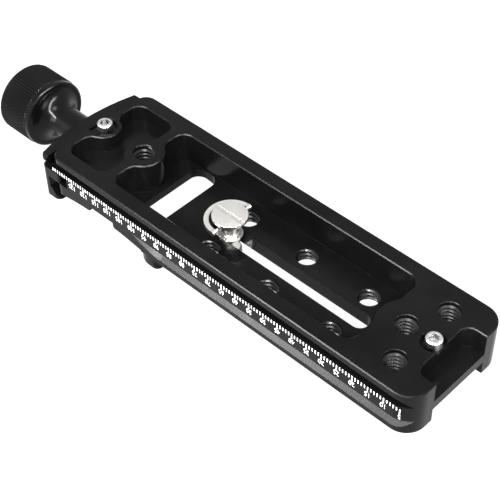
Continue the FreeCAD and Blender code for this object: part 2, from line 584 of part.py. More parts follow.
def thrust_washer():
    ring = rod_x(WASHER_X0, WASHER_X0 + WASHER_THICKNESS, 0, SCREW_Z, WASHER_D)
    return ring.cut(rod_x(WASHER_X0 - PAST, JAW_BOW_X + PAST, 0, SCREW_Z, SCREW_D + 2 * SCREW_FREE_GAP))


def guide_pin(side):
    return rod_x(PIN_START_X + FACE_GAP, PIN_END_X, side * PIN_Y, SCREW_Z, PIN_D)


def jaw_spring(side):
    """The room of the coiled spring round a guide pin, from the jaw's tongue to the bottom of its bore."""
    start_x = TONGUE_END_X + SPRING_END_GAP
    end_x = SPRING_SEAT_X - SPRING_END_GAP
    inner_d = SPRING_OD - 2 * SPRING_WIRE_D
    coil = rod_x(start_x, end_x, side * PIN_Y, SCREW_Z, SPRING_OD)
    return coil.cut(rod_x(start_x - PAST, end_x + PAST, side * PIN_Y, SCREW_Z, inner_d))


# ---- stop screws --------------------------------------------------------------------------------------
def stop_screw(x, seat_depth):
    """A socket-head screw, standing proud of the rail so that a plate can't slide off its end."""
    head_top_z = STOP_HEAD_H - seat_depth
    head = rod_z(x, 0, -seat_depth, head_top_z, STOP_HEAD_D)
    top_edges = [edge for edge in head.Edges if abs(edge.CenterOfMass.z - head_top_z) < 1e-6]
    head = head.makeChamfer(STOP_HEAD_CHAMFER, top_edges)
    shank = rod_z(x, 0, -seat_depth - STOP_SHANK_L + FACE_GAP, -seat_depth, STOP_SHANK_D)
    socket = hexagon_z(x, 0, head_top_z - STOP_SOCKET_DEPTH, head_top_z + PAST, STOP_SOCKET_AF)
    return head.fuse(shank).cut(socket)


# ---- camera screw -------------------------------------------------------------------------------------
def camera_screw():
    thread_top_z = -RAIL_HEIGHT - NECK_BELOW_RAIL
    outline = [
        (0, DISC_TOP_Z),
        (DISC_D / 2 - DISC_CHAMFER, DISC_TOP_Z),
        (DISC_D / 2, DISC_TOP_Z - DISC_CHAMFER),
        (DISC_D / 2, DISC_FOOT_Z),
        (HUB_D / 2, DISC_FOOT_Z),
        (HUB_D / 2, HUB_BOTTOM_Z),
        (NECK_D / 2, HUB_BOTTOM_Z),
        (NECK_D / 2, thread_top_z),
        (THREAD_D / 2, thread_top_z),
        (THREAD_D / 2, SHANK_TIP_Z + SHANK_CHAMFER),
        (THREAD_D / 2 - SHANK_CHAMFER, SHANK_TIP_Z),
        (0, SHANK_TIP_Z)]
    points = [vec(CAMERA_X + radius, 0, z) for radius, z in outline]
    screw = Part.Face(Part.makePolygon(points + [points[0]])).revolve(vec(CAMERA_X, 0, 0), Z_AXIS, 360)
    half_slot = DRIVER_SLOT_W / 2
    reach = DISC_D / 2 + PAST
    driver_slot = box(CAMERA_X - reach, CAMERA_X + reach, -half_slot, half_slot,
                      DISC_TOP_Z - DRIVER_SLOT_DEPTH, DISC_TOP_Z + PAST)
    pivot_hole = rod_y(RING_PIVOT_X, -HUB_D, HUB_D, RING_PIVOT_Z, RING_PIN_D + 2 * RING_PIN_GAP)
    return screw.cut([driver_slot, pivot_hole])


def camera_screw_washer():
    foot_z = LARGE_FLOOR_Z + CARRIER_FLOOR_GAP
    washer = rod_z(CAMERA_X, 0, foot_z, foot_z + CARRIER_H, CARRIER_D)
    return washer.cut(rod_z(CAMERA_X, 0, foot_z - PAST, foot_z + CARRIER_H + PAST, NECK_D + 2 * FACE_GAP))


def d_ring():
    """A flat half ring with an eye at each end and pins that turn in the screw's hub."""
    foot_z = RING_PIVOT_Z - RING_THICKNESS / 2
    bow = rod_z(RING_PIVOT_X, 0, foot_z, foot_z + RING_THICKNESS, 2 * RING_OUTER_R)
    bow = bow.cut(rod_z(RING_PIVOT_X, 0, foot_z - PAST, foot_z + RING_THICKNESS + PAST, 2 * RING_INNER_R))
    front = box(RING_PIVOT_X, RING_PIVOT_X + RING_OUTER_R + PAST, -RING_OUTER_R - PAST, RING_OUTER_R + PAST,
                foot_z - PAST, foot_z + RING_THICKNESS + PAST)
    ring = bow.cut(front)
    for side in (-1, 1):
        inner, outer = sorted((side * RING_INNER_R, side * RING_OUTER_R))
        ring = ring.fuse(rod_y(RING_PIVOT_X, inner, outer, RING_PIVOT_Z, 2 * RING_EYE_R))
        inner, outer = sorted((side * RING_PIN_TIP_Y, side * RING_OUTER_R))
        ring = ring.fuse(rod_y(RING_PIVOT_X, inner, outer, RING_PIVOT_Z, RING_PIN_D))
    return ring.removeSplitter()


# ---- write every node ---------------------------------------------------------------------------------
NODES = {
    "rail_body": rail_body,
    "moving_jaw": moving_jaw,
    "knob": knob,
    "lead_screw": lead_screw,
    "knob_grub_screw": knob_grub_screw,
    "thrust_washer": thrust_washer,
    "guide_pin_near": lambda: guide_pin(-1),
    "guide_pin_far": lambda: guide_pin(1),
    "jaw_spring_near": lambda: jaw_spring(-1),
    "jaw_spring_far": lambda: jaw_spring(1),
    "stop_screw_knob_end": lambda: stop_screw(KNOB_STOP_X, KNOB_STOP_SEAT),
    "stop_screw_free_end": lambda: stop_screw(FREE_STOP_X, FREE_STOP_SEAT),
    "camera_screw": camera_screw,
    "camera_screw_washer": camera_screw_washer,
    "d_ring": d_ring,
}

os.makedirs("parts", exist_ok=True)
for name, make in NODES.items():
    shape = make()
    shape.translate(PART_SHIFT)
    shape.exportStep(os.path.join("parts", name + ".step"))
    size = shape.BoundBox
    print(f"{name}: solids {len(shape.Solids)} valid {shape.isValid()} volume {shape.Volume:.1f} mm3,",
          f"x {size.XMin:.2f}..{size.XMax:.2f}",
          f"y {size.YMin:.2f}..{size.YMax:.2f}",
          f"z {size.ZMin:.2f}..{size.ZMax:.2f}")
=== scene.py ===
"""Macro focusing rail, dressed: materials, threads, knurl, springs and the millimetre scale."""

import math

import bmesh
import bpy
from mathutils import Matrix, Vector


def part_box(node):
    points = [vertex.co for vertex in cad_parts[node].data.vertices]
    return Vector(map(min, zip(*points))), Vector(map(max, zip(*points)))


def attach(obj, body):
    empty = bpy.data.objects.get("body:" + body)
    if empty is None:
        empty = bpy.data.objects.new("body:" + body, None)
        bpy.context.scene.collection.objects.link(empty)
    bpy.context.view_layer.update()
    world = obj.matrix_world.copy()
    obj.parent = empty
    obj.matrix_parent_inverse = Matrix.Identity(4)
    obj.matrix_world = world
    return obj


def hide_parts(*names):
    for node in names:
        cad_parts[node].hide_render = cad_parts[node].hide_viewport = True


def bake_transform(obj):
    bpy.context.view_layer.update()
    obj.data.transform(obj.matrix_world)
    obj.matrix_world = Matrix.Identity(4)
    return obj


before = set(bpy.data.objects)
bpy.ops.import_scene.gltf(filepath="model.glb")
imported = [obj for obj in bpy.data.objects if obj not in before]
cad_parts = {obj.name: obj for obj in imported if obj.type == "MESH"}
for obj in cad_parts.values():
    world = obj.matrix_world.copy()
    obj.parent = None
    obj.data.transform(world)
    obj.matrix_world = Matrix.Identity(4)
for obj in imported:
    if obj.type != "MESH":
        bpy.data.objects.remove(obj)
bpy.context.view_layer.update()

MM = 0.001
RAIL_LOW, RAIL_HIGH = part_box("rail_body")
RAIL_START_X = RAIL_LOW.x           # the rail's knob-end face
RAIL_TOP_Z = RAIL_HIGH.z
RAIL_HALF_WIDTH = 19.0
RAIL_LENGTH = 132.5

# Sizes in millimetres, measured from the rail's knob-end face, its centre plane and its top face.
THREAD_PITCH = 1.27                 # 1/4"-20
THREAD_MAJOR_R = 3.175
THREAD_MINOR_R = 2.56
HOLE_CHAMFER = 0.15
RAIL_HEIGHT = 14.0
CLAMP_ROOF_Z = -10.5
LARGE_FLOOR_Z = -9.8
TOP_HOLES = [(19.4, 0.0, CLAMP_ROOF_Z), (115.4, 0.0, -RAIL_HEIGHT),
             (120.55, -10.8, -RAIL_HEIGHT), (120.55, 10.8, -RAIL_HEIGHT)]
FLOOR_HOLE_XS = (53.2, 75.2, 97.2)
FLOOR_HOLE_Y = 7.9

SCALE_ZERO_X = 133.9                # x of the scale's zero, just past the free end
SCALE_FIRST = 5
SCALE_LAST = 133
LONG_TICK_STEP = 5
LAST_FIGURE = 125
TICK_TOP_Z = -4.55
SHORT_TICK_H = 1.2
LONG_TICK_H = 1.95
TICK_W = 0.3
PAINT_PROUD = 0.012
FIGURE_H = 1.65
FIGURE_MIDDLE_Z = -7.5
FIGURE_SQUEEZE = 0.86
TONGUE_SLOT_END_X = 6.5             # the jaw's slot opens the rail's sides up to here

SCREW_Z = -8.5                      # axis of the lead screw, the knob and the guide pins
KNOB_R = 10.9
KNOB_OUTER_X = -35.2
KNOB_FACE_X = -20.9
KNOB_CHAMFER = 1.3
KNOB_RECESS_X = -34.4               # floor of the shallow recess in the outer face
KNOB_RECESS_R = 6.7
KNOB_NECK_R = 4.8
KNOB_RING_R = 10.6
KNOB_RING_END_X = -21.3             # where the plain ring's rounded edge begins
KNURL_END_X = -22.8
FLARE_R = 5.5                       # the neck's hollow flare, seen from the side
FLARE_MOUTH_R = 8.9
KNOB_NECK_END_X = -7.55
KNOB_BORE_END_X = -31.3
KNOB_TEETH = 70
TOOTH_DEPTH = 0.34
TOOTH_STEPS = 8
GRUB_X = -12.0
GRUB_HOLE_D = 3.04

LEAD_SCREW_R = 2.0
LEAD_BORE_R = 2.02
LEAD_PITCH = 0.7
LEAD_THREAD_DEPTH = 0.4
LEAD_TIP_CHAMFER = 0.5
LEAD_START_X = -31.25
LEAD_THREAD_X = -7.0
LEAD_TIP_X = 13.9

PIN_Y = 12.0
SPRING_START_X = 3.26
SPRING_END_X = 9.44
SPRING_MIDDLE_R = 1.375
SPRING_WIRE_R = 0.225
SPRING_TURNS = 7

CAMERA_X = 53.7
DISC_TOP_Z = -2.3
DISC_FOOT_Z = -3.4
DISC_R = 5.15
DISC_EDGE = 0.2                     # rounding of the disc's rim
HUB_R = 2.75
FLANGE_R = 3.0
FLANGE_TOP_Z = -5.3
DRIVER_SLOT_W = 1.3
DRIVER_SLOT_DEPTH = 0.4
HUB_BOTTOM_Z = -6.0
RING_PIVOT_X = 54.0
RING_PIVOT_Z = -4.2
RING_PIN_HOLE_D = 1.1
NECK_R = 2.6
SHANK_TOP_Z = -14.2
SHANK_TIP_Z = -19.0
SHANK_TIP_CHAMFER = 0.6


def at(x, y, z):
    """A place in millimetres from the rail's corner planes, as metres in the part's frame."""
    return Vector((RAIL_START_X + x * MM, y * MM, RAIL_TOP_Z + z * MM))


# ---- materials -----------------------------------------------------------------------------------------
NOISE_ROUGHNESS = 0.55
BLASTED_EDGE = 0.12 * MM            # how far the edges look rounded
BLASTED_GRAIN_SCALE = 9000
BLASTED_GRAIN = 0.12
TURNED_EDGE = 0.06 * MM
TURNED_MARK_SCALE = 900


def new_material(name):
    material = bpy.data.materials.new(name)
    material.use_nodes = True
    nodes = material.node_tree.nodes
    nodes.clear()
    output = nodes.new("ShaderNodeOutputMaterial")
    shader = nodes.new("ShaderNodeBsdfPrincipled")
    material.node_tree.links.new(shader.outputs["BSDF"], output.inputs["Surface"])
    return material, nodes, material.node_tree.links, shader


def noise(nodes, links, coords, scale, detail):
    texture = nodes.new("ShaderNodeTexNoise")
    texture.inputs["Scale"].default_value = scale
    texture.inputs["Detail"].default_value = detail
    texture.inputs["Roughness"].default_value = NOISE_ROUGHNESS
    links.new(coords, texture.inputs["Vector"])
    return texture.outputs["Fac"]


def mapped(nodes, links, factor, low, high):
    """Spread a 0 to 1 factor between two values."""
    scale = nodes.new("ShaderNodeMapRange")
    scale.inputs["From Min"].default_value = 0.3
    scale.inputs["From Max"].default_value = 0.7
    scale.inputs["To Min"].default_value = low
    scale.inputs["To Max"].default_value = high
    links.new(factor, scale.inputs["Value"])
    return scale.outputs["Result"]


def tinted(nodes, links, factor, dark, light):
    ramp = nodes.new("ShaderNodeValToRGB")
    ramp.color_ramp.elements[0].position = 0.3
    ramp.color_ramp.elements[0].color = (*dark, 1)
    ramp.color_ramp.elements[1].position = 0.7
    ramp.color_ramp.elements[1].color = (*light, 1)
    links.new(factor, ramp.inputs["Fac"])
    return ramp.outputs["Color"]


def bumped(nodes, links, factor, strength, distance, normal):
    bump = nodes.new("ShaderNodeBump")
    bump.inputs["Strength"].default_value = strength
    bump.inputs["Distance"].default_value = distance
    links.new(factor, bump.inputs["Height"])
    links.new(normal, bump.inputs["Normal"])
    return bump.outputs["Normal"]


def rounded_edges(nodes, radius):
    bevel = nodes.new("ShaderNodeBevel")
    bevel.samples = 4
    bevel.inputs["Radius"].default_value = radius
    return bevel.outputs["Normal"]


def anodised(name, dark, light, rough_low, rough_high, specular):
    """Blasted and anodised aluminium: near-black, with a fine grain and a soft sheen."""
    material, nodes, links, shader = new_material(name)
    coords = nodes.new("ShaderNodeTexCoord").outputs["Object"]
    broad = noise(nodes, links, coords, 60, 4)
    fine = noise(nodes, links, coords, BLASTED_GRAIN_SCALE, 2)
    links.new(tinted(nodes, links, broad, dark, light), shader.inputs["Base Color"])
    links.new(mapped(nodes, links, broad, rough_low, rough_high), shader.inputs["Roughness"])
    normal = rounded_edges(nodes, BLASTED_EDGE)
    links.new(bumped(nodes, links, fine, BLASTED_GRAIN, 0.01 * MM, normal), shader.inputs["Normal"])
    shader.inputs["Specular IOR Level"].default_value = specular
    return material


def shaded_recess(nodes, links, colour, reach):
    """Painted shade: darken a colour inside slots, sockets and hollows, where shade falls."""
    recess = nodes.new("ShaderNodeAmbientOcclusion")
    recess.samples = 8
    recess.inputs["Distance"].default_value = reach
    links.new(colour, recess.inputs["Color"])
    return recess.outputs["Color"]


def metal(name, dark, light, rough_low, rough_high, streak=(1, 1, 1), shade_reach=1.5):
    """A plated or turned metal with fine machining marks, and painted shade in its slots and sockets."""
    material, nodes, links, shader = new_material(name)
    coords = nodes.new("ShaderNodeTexCoord").outputs["Object"]
    mapping = nodes.new("ShaderNodeMapping")
    mapping.inputs["Scale"].default_value = streak
    links.new(coords, mapping.inputs["Vector"])
    marks = noise(nodes, links, mapping.outputs["Vector"], TURNED_MARK_SCALE, 4)
    broad = noise(nodes, links, coords, 250, 3)
    # Painted shade: the colour darkens in slots, sockets and hollows.
    colour = shaded_recess(nodes, links, tinted(nodes, links, broad, dark, light), shade_reach * MM)
    links.new(colour, shader.inputs["Base Color"])
    links.new(mapped(nodes, links, marks, rough_low, rough_high), shader.inputs["Roughness"])
    normal = rounded_edges(nodes, TURNED_EDGE)
    links.new(bumped(nodes, links, marks, 0.15, 0.006 * MM, normal), shader.inputs["Normal"])
    shader.inputs["Metallic"].default_value = 1.0
    return material


def paint(name, dark, light):
    """The white filling of the engraved scale."""
    material, nodes, links, shader = new_material(name)
    coords = nodes.new("ShaderNodeTexCoord").outputs["Object"]
    speckle = noise(nodes, links, coords, 2500, 3)
    links.new(tinted(nodes, links, speckle, dark, light), shader.inputs["Base Color"])
    links.new(mapped(nodes, links, speckle, 0.45, 0.65), shader.inputs["Roughness"])
    return material


BODY_BLACK = anodised("body_black", (0.0010, 0.0010, 0.0011), (0.0022, 0.0022, 0.0023), 0.19, 0.26, 0.075)
KNOB_BLACK = anodised("knob_black", (0.0008, 0.0008, 0.0009), (0.0018, 0.0018, 0.0019), 0.17, 0.24, 0.10)
THREAD_BLACK = anodised("thread_black", (0.001, 0.001, 0.0011), (0.002, 0.002, 0.0021), 0.20, 0.28, 0.30)
# Each metal below gets painted shade in its hollows; on the steel it reaches 3 mm, into the screws' sockets.
NICKEL = metal("nickel", (0.66, 0.64, 0.61), (0.74, 0.73, 0.70), 0.2, 0.34, (1, 12, 12))
STEEL = metal("stainless", (0.50, 0.50, 0.50), (0.60, 0.60, 0.60), 0.22, 0.36, shade_reach=3.0)
SPRING_STEEL = metal("spring_wire", (0.36, 0.36, 0.37), (0.46, 0.46, 0.47), 0.25, 0.4, (8, 1, 1))
BRASS = metal("washer_brass", (0.55, 0.40, 0.16), (0.66, 0.50, 0.22), 0.25, 0.4)
SCALE_WHITE = paint("scale_white", (0.42, 0.42, 0.415), (0.56, 0.56, 0.55))


def dress(node, material):
    """Give a CAD node its material."""
    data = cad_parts[node].data
    data.materials.clear()
    data.materials.append(material)


# ---- mesh pieces ----------------------------------------------------------------------------------------
def free_piece(name, mesh, material):
    piece = bpy.data.objects.new(name, mesh)
    bpy.context.scene.collection.objects.link(piece)
    mesh.materials.append(material)
    return piece


def mesh_piece(name, mesh, material, body):
    piece = free_piece(name, mesh, material)
    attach(piece, body)
    return piece


def mesh_from(name, vertices, faces, smooth_angle=None):
    mesh = bpy.data.meshes.new(name)
    mesh.from_pydata([tuple(v) for v in vertices], [], faces)
    work = bmesh.new()
    work.from_mesh(mesh)
    bmesh.ops.recalc_face_normals(work, faces=work.faces)
    work.to_mesh(mesh)
    work.free()
    if smooth_angle is not None:
        mesh.shade_smooth()
        mesh.set_sharp_from_angle(angle=math.radians(smooth_angle))
    return mesh


def revolved(profile, place, around, radius_at):
    """Turn an open profile of (along, radius) pairs, and close it with a flat face at each end."""
    vertices = []
    faces = []
    for along, radius in profile:
        for k in range(around):
            angle = 2 * math.pi * k / around
            r = radius_at(along, radius, angle)
            vertices.append(place(along, r * math.cos(angle), r * math.sin(angle)))
    rows = len(profile)
    for i in range(rows - 1):
        for k in range(around):
            n = (k + 1) % around
            faces.append((i * around + k, i * around + n, (i + 1) * around + n, (i + 1) * around + k))
    faces.append(tuple(range(around)))
    faces.append(tuple(range((rows - 1) * around, rows * around)))
    return vertices, faces


def helical_ridge(x, y, low_z, high_z, root_r, crest_r, around=48):
    """A V-shaped thread ridge that stands from root_r to crest_r and fades out at both ends."""
    turns = (high_z - low_z) / THREAD_PITCH
    steps = int(turns * around)
    vertices = []
    faces = []
    half_root = THREAD_PITCH * 0.34
    half_crest = THREAD_PITCH * 0.05
    for k in range(steps + 1):
        angle = 2 * math.pi * k / around
        z = low_z + THREAD_PITCH * k / around
        fade = min(1.0, k / (around / 3), (steps - k) / (around / 3))
        crest = root_r + (crest_r - root_r) * max(fade, 0.02)
        ridge = [(root_r, -half_root), (crest, -half_crest), (crest, half_crest), (root_r, half_root)]
        for radius, dz in ridge:
            vertices.append(at(x + radius * math.cos(angle), y + radius * math.sin(angle), z + dz))
    for k in range(steps):
        base = 4 * k
        for a in range(4):
            b = (a + 1) % 4
            faces.append((base + a, base + b, base + 4 + b, base + 4 + a))
    faces.append((0, 1, 2, 3))
    last = 4 * steps
    faces.append((last + 3, last + 2, last + 1, last))
    return vertices, faces


def joined(parts):
    vertices = []
    faces = []
    for part_vertices, part_faces in parts:
        offset = len(vertices)
        vertices += part_vertices
        faces += [tuple(i + offset for i in face) for face in part_faces]
    return vertices, faces


def cut(mesh, cutters):
    """The mesh with every cutter mesh taken out of it."""
    scene = bpy.context.scene.collection
    solid = bpy.data.objects.new("solid", mesh)
    scene.objects.link(solid)
    tools = []
    for cutter in cutters:
        tool = bpy.data.objects.new("cutter", cutter)
        scene.objects.link(tool)
        tools.append(tool)
        trim = solid.modifiers.new("trim", "BOOLEAN")
        trim.operation = "DIFFERENCE"
        trim.solver = "EXACT"
        trim.object = tool
    bpy.context.view_layer.update()
    result = bpy.data.meshes.new_from_object(solid.evaluated_get(bpy.context.evaluated_depsgraph_get()))
    for item in tools + [solid]:
        used = item.data
        bpy.data.objects.remove(item)
        bpy.data.meshes.remove(used)
    return result


def rod_mesh(start, end, radius, around=32):
    """A round cutter between two places, with its radius in millimetres."""
    axis = (end - start).normalized()
    side = axis.orthogonal().normalized()
    other = axis.cross(side)
    vertices = []
    for centre in (start, end):
        for k in range(around):
            angle = 2 * math.pi * k / around
            vertices.append(centre + radius * MM * (math.cos(angle) * side + math.sin(angle) * other))
    faces = [(k, (k + 1) % around, around + (k + 1) % around, around + k) for k in range(around)]
    faces += [tuple(range(around)), tuple(range(around, 2 * around))]
    return mesh_from("rod", vertices, faces)


def swept_tube(points, radius, around=10):
    """A round wire along a line of places, with its radius in millimetres."""
    vertices = []
    for i, point in enumerate(points):
        ahead = points[min(i + 1, len(points) - 1)]
        behind = points[max(i - 1, 0)]
        along = (ahead - behind).normalized()
        side = along.cross(Vector((1, 0, 0))).normalized()
        other = along.cross(side)
        for k in range(around):
            angle = 2 * math.pi * k / around
            vertices.append(point + radius * MM * (math.cos(angle) * side + math.sin(angle) * other))
    faces = [(i * around + k, i * around + (k + 1) % around,
              (i + 1) * around + (k + 1) % around, (i + 1) * around + k)
             for i in range(len(points) - 1) for k in range(around)]
    faces += [tuple(range(around)), tuple(range((len(points) - 1) * around, len(points) * around))]
    return vertices, faces


# ---- knob -------------------------------------------------------------------------------------------------
def around_screw(along, across, up):
    return at(along, across, SCREW_Z + up)


def tooth_radius(along, radius, angle):
    """Straight knurl: V grooves in the knob's rim, which run out through the outer chamfer."""
    if along > KNURL_END_X:
        return radius
    phase = angle / (2 * math.pi) * KNOB_TEETH % 1.0
    groove = 1 - abs(2 * phase - 1)
    return min(radius, KNOB_R - TOOTH_DEPTH * min(1.0, 1.25 * groove))


def knurled_knob():
    """The knob: a knurled head with a plain ring at its inner end, whose face flares into the neck."""
    steps = 5
    low_r = KNOB_R - KNOB_CHAMFER
    profile = [(KNOB_RECESS_X, KNOB_RECESS_R), (KNOB_OUTER_X + 0.1, KNOB_RECESS_R + 0.7),
               (KNOB_OUTER_X, KNOB_RECESS_R + 0.9), (KNOB_OUTER_X, low_r - 0.1)]
    profile += [(KNOB_OUTER_X + KNOB_CHAMFER * k / steps, low_r + KNOB_CHAMFER * k / steps)
                for k in range(steps + 1)]
    profile += [(KNURL_END_X - 0.25, KNOB_R), (KNURL_END_X, KNOB_R - 0.22),
                (KNURL_END_X + 0.01, KNOB_RING_R), (KNOB_RING_END_X, KNOB_RING_R),
                (KNOB_RING_END_X + 0.08, KNOB_RING_R - 0.08), (KNOB_RING_END_X + 0.3, KNOB_RING_R - 0.3),
                (KNOB_FACE_X, KNOB_RING_R - 0.45)]
    # A fine turned line runs round the flare's mouth.
    profile += [(KNOB_FACE_X, FLARE_MOUTH_R + 0.35), (KNOB_FACE_X - 0.1, FLARE_MOUTH_R + 0.25),
                (KNOB_FACE_X - 0.1, FLARE_MOUTH_R + 0.1), (KNOB_FACE_X, FLARE_MOUTH_R)]
    flare_centre_r = KNOB_NECK_R + FLARE_R
    first = math.asin((flare_centre_r - FLARE_MOUTH_R) / FLARE_R)
    flare_end_x = KNOB_FACE_X + FLARE_R * math.cos(first)
    flare_steps = 24
    for k in range(1, flare_steps + 1):
        turn = first + (math.pi / 2 - first) * k / flare_steps
        profile.append((flare_end_x - FLARE_R * math.cos(turn), flare_centre_r - FLARE_R * math.sin(turn)))
    profile += [(KNOB_NECK_END_X - 0.2, KNOB_NECK_R), (KNOB_NECK_END_X, KNOB_NECK_R - 0.2),
                (KNOB_NECK_END_X, LEAD_BORE_R), (KNOB_BORE_END_X, LEAD_BORE_R)]
    around = KNOB_TEETH * TOOTH_STEPS
    mesh = mesh_from("knurled_knob", *revolved(profile, around_screw, around, tooth_radius))
    hole = rod_mesh(at(GRUB_X, 0, SCREW_Z), at(GRUB_X, 0, SCREW_Z - 8), GRUB_HOLE_D / 2)
    mesh = cut(mesh, [hole])
    mesh.name = "knurled_knob"
    mesh.shade_smooth()
    mesh.set_sharp_from_angle(angle=math.radians(20))
    knob = mesh_piece("knurled_knob", mesh, KNOB_BLACK, "knob")
    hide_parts("knob")


# ---- threads of the two screws --------------------------------------------------------------------------
FLANK_SLOPE = 1.35                  # above 1 + CREST_OFFSET, so that the thread's root is flat
CREST_OFFSET = 0.15                 # leaves a narrow flat crest


def thread_drop(along, angle, pitch, depth):
    """How far a V thread's surface lies under its crest."""
    phase = (along / pitch - angle / (2 * math.pi)) % 1.0
    return depth * min(1.0, max(0.0, FLANK_SLOPE * (1 - abs(2 * phase - 1)) - CREST_OFFSET))


def threaded_lead_screw():
    profile = [(LEAD_START_X, LEAD_SCREW_R), (LEAD_THREAD_X, LEAD_SCREW_R)]
    rows = int((LEAD_TIP_X - LEAD_THREAD_X) / LEAD_PITCH * 8)
    profile += [(LEAD_THREAD_X + (LEAD_TIP_X - LEAD_THREAD_X) * k / rows, LEAD_SCREW_R)
                for k in range(1, rows + 1)]

    def radius_at(along, radius, angle):
        fade = min(1.0, max(0.0, (along - LEAD_THREAD_X) / LEAD_PITCH))
        tip = LEAD_TIP_X - along
        drop = thread_drop(along, angle, LEAD_PITCH, LEAD_THREAD_DEPTH) * fade
        return min(radius - drop, LEAD_SCREW_R - LEAD_TIP_CHAMFER + tip)

    mesh = mesh_from("threaded_lead_screw", *revolved(profile, around_screw, 32, radius_at), smooth_angle=32)
    screw = mesh_piece("threaded_lead_screw", mesh, STEEL, "knob")
    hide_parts("lead_screw")


def around_camera_screw(along, across, up):
    return at(CAMERA_X + across, up, along)


def camera_screw():
    """The captive screw: a slotted disc on a flanged hub, a neck in the slot and a thread under the rail."""
    profile = [(DISC_TOP_Z, DISC_R - DISC_EDGE), (DISC_TOP_Z - 0.06, DISC_R - 0.06),
               (DISC_TOP_Z - DISC_EDGE, DISC_R), (DISC_FOOT_Z + 0.12, DISC_R), (DISC_FOOT_Z, DISC_R - 0.13),
               (DISC_FOOT_Z, HUB_R + 0.15), (DISC_FOOT_Z - 0.2, HUB_R), (FLANGE_TOP_Z, HUB_R),
               (FLANGE_TOP_Z - 0.12, FLANGE_R - 0.05), (HUB_BOTTOM_Z + 0.1, FLANGE_R),
               (HUB_BOTTOM_Z, FLANGE_R - 0.1), (HUB_BOTTOM_Z, NECK_R), (SHANK_TOP_Z, NECK_R)]
    rows = int((SHANK_TOP_Z - SHANK_TIP_Z) / THREAD_PITCH * 10)
    profile += [(SHANK_TOP_Z + (SHANK_TIP_Z - SHANK_TOP_Z) * k / rows, THREAD_MAJOR_R)
                for k in range(1, rows + 1)]

    def radius_at(along, radius, angle):
        if along >= SHANK_TOP_Z:
            return radius
        tip = along - SHANK_TIP_Z
        lead_in = (SHANK_TOP_Z - along) * 1.2
        crest = THREAD_MAJOR_R - thread_drop(along, angle, THREAD_PITCH, THREAD_MAJOR_R - THREAD_MINOR_R)
        return min(crest, NECK_R + lead_in, THREAD_MAJOR_R - SHANK_TIP_CHAMFER + tip)

    mesh = mesh_from("slotted_camera_screw", *revolved(profile, around_camera_screw, 96, radius_at))
    reach = 7
    half = DRIVER_SLOT_W / 2
    floor_z = DISC_TOP_Z - DRIVER_SLOT_DEPTH
    corners = [(-half, floor_z), (half, floor_z),
               (half + 0.06, DISC_TOP_Z + 1), (-half - 0.06, DISC_TOP_Z + 1)]
    vertices = [at(CAMERA_X + end * reach, y, z) for end in (-1, 1) for y, z in corners]
    faces = [(0, 1, 2, 3), (7, 6, 5, 4)] + [(k, (k + 1) % 4, 4 + (k + 1) % 4, 4 + k) for k in range(4)]
    slot = mesh_from("driver_slot", vertices, faces)
    pin_hole = rod_mesh(at(RING_PIVOT_X, -7, RING_PIVOT_Z), at(RING_PIVOT_X, 7, RING_PIVOT_Z),
                        RING_PIN_HOLE_D / 2)
    mesh = cut(mesh, [slot, pin_hole])
    mesh.name = "slotted_camera_screw"
    mesh.shade_smooth()
    mesh.set_sharp_from_angle(angle=math.radians(28))
    screw = mesh_piece("slotted_camera_screw", mesh, NICKEL, "camera_screw")
    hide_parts("camera_screw")


# ---- springs ------------------------------------------------------------------------------------------
def jaw_springs():
    """The coils round the guide pins, which stretch between the rail and the jaw."""
    per_turn = 20
    for side, name in ((-1, "near"), (1, "far")):
        points = []
        length = SPRING_END_X - SPRING_START_X - 2 * SPRING_WIRE_R
        for k in range(SPRING_TURNS * per_turn + 1):
            share = k / (SPRING_TURNS * per_turn)
            # The end turns are closed, so that the coil stands flat.
            eased = share - 0.06 * math.sin(2 * math.pi * share)
            angle = 2 * math.pi * SPRING_TURNS * share
            points.append(at(SPRING_START_X + SPRING_WIRE_R + length * eased,
                             side * PIN_Y + SPRING_MIDDLE_R * math.cos(angle),
                             SCREW_Z + SPRING_MIDDLE_R * math.sin(angle)))
        mesh = mesh_from(f"spring_coil_{name}", *swept_tube(points, SPRING_WIRE_R), smooth_angle=60)
        coil = free_piece(f"spring_coil_{name}", mesh, SPRING_STEEL)
        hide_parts(f"jaw_spring_{name}")
        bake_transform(coil)


# ---- tapped threads ---------------------------------------------------------------------------------------
def hole_threads():
    margin = THREAD_PITCH * 0.36
    wall_r = THREAD_MAJOR_R - 0.01
    for number, (x, y, bottom_z) in enumerate(TOP_HOLES):
        ridge = helical_ridge(x, y, bottom_z + margin, -HOLE_CHAMFER - margin, wall_r, THREAD_MINOR_R)
        mesh = mesh_from(f"hole_thread_{number}", *ridge, smooth_angle=25)
        mesh_piece(f"hole_thread_{number}", mesh, THREAD_BLACK, "rail")
    ridges = [helical_ridge(x, side * FLOOR_HOLE_Y, -RAIL_HEIGHT + margin, LARGE_FLOOR_Z - margin,
                            wall_r, THREAD_MINOR_R)
              for x in FLOOR_HOLE_XS for side in (-1, 1)]
    mesh = mesh_from("floor_hole_threads", *joined(ridges), smooth_angle=25)
    mesh_piece("floor_hole_threads", mesh, THREAD_BLACK, "rail")


# ---- millimetre scale ------------------------------------------------------------------------------------
def tick_block(x, side, top_z, height):
    """A thin bar of paint that stands a hair proud of the side face."""
    inner = RAIL_HALF_WIDTH - PAINT_PROUD
    outer = RAIL_HALF_WIDTH + PAINT_PROUD
    half = TICK_W / 2
    corners = [at(x + dx, side * y, z) for dx in (-half, half) for y in (inner, outer)
               for z in (top_z - height, top_z)]
    faces = [(0, 1, 3, 2), (4, 6, 7, 5), (0, 4, 5, 1), (2, 3, 7, 6), (0, 2, 6, 4), (1, 5, 7, 3)]
    return corners, faces


def scale_x(reading, side):
    """The near scale counts from the free end, and the far one from the knob end."""
    return SCALE_ZERO_X - reading if side < 0 else reading - (SCALE_ZERO_X - RAIL_LENGTH)


